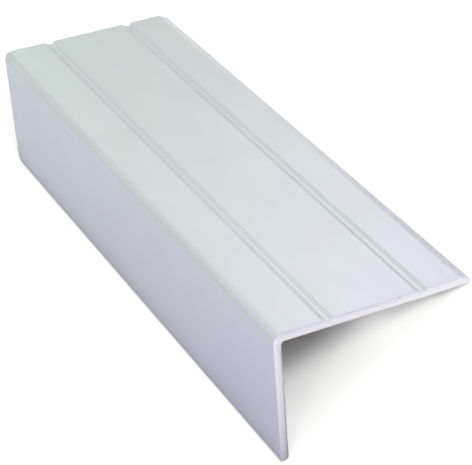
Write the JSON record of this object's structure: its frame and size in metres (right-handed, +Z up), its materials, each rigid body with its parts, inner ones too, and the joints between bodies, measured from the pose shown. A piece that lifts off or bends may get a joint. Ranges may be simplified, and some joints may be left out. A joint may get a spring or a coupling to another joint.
{
  "type": "stair nosing",
  "caption": "Angled aluminium stair nosing: a grooved tread leaf and a riser leaf meet at a rounded nose that covers and guards the front edge of a step.",
  "frame": {"origin": "on the floor plane, below the centre of the bar's box; the bar stands on the foot of its riser leaf and the back edge of its tread leaf, nose up", "axes": "+X along the bar, +Y from the riser leaf's foot towards the tread leaf's back edge, +Z up"},
  "size_m": [0.172, 0.0594, 0.0281],
  "materials": {
    "anodised_aluminium": "satin silver anodised"
  },
  "bodies": {
    "root": {"nosing_bar": "anodised_aluminium"}
  },
  "joints": []
}
